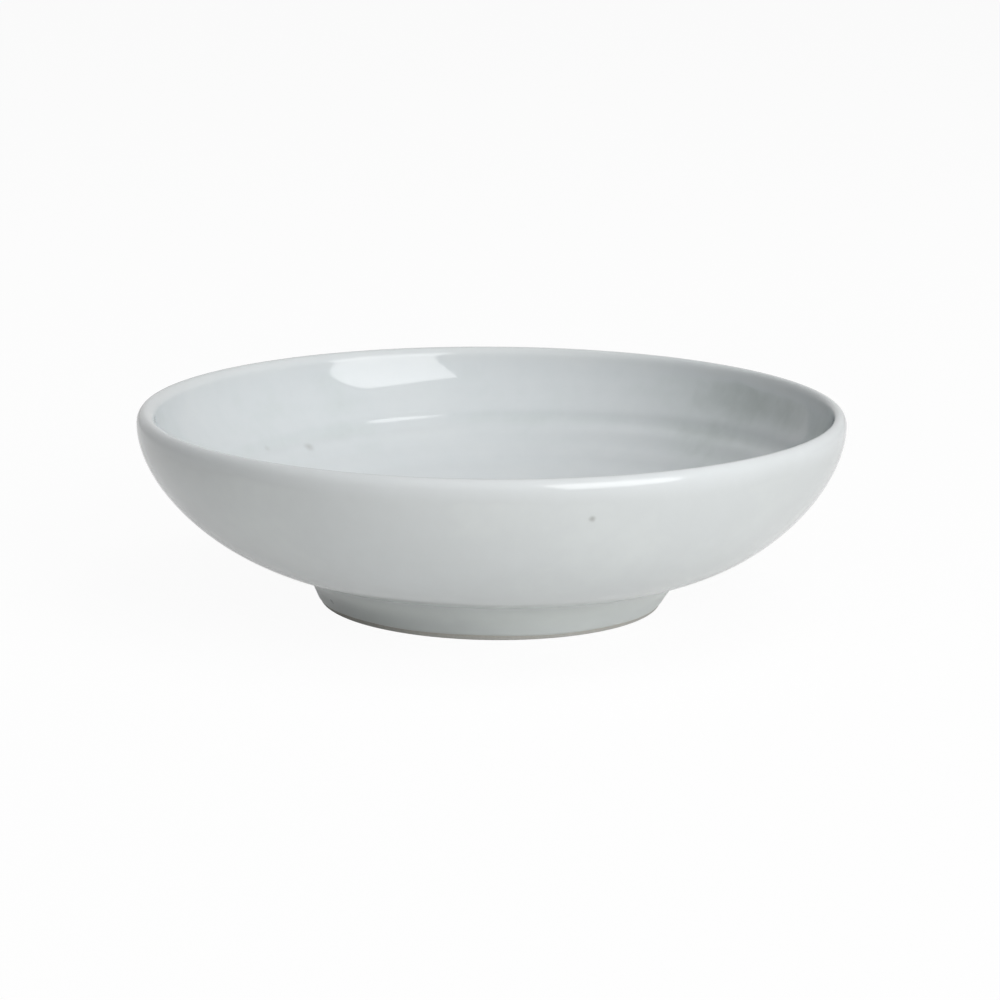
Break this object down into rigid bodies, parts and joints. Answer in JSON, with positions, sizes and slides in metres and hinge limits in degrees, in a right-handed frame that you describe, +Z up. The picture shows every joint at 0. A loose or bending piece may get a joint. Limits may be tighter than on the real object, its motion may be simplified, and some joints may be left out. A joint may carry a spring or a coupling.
{
  "type": "soy sauce dish",
  "caption": "Small round porcelain dish with a shallow bowl, soft throwing rings inside, a rounded lip and a low flared foot, for holding dipping sauce.",
  "frame": {"origin": "on the table, at the middle of the foot ring, which is the dish's axis", "axes": "+Z up along the dish's axis, out of the open bowl; +X to the right and +Y away from the camera as in the picture"},
  "size_m": [0.1, 0.1, 0.0278],
  "materials": {
    "bare_porcelain": "unglazed fired porcelain, smooth and matt",
    "pale_glaze": "pale blue-grey glossy glaze with a few fine iron specks"
  },
  "bodies": {
    "root": {"clay_bowl": "bare_porcelain", "foot_ring": "bare_porcelain", "inside_glaze": "pale_glaze", "outside_glaze": "pale_glaze", "foot_hollow_glaze": "pale_glaze"}
  },
  "joints": []
}
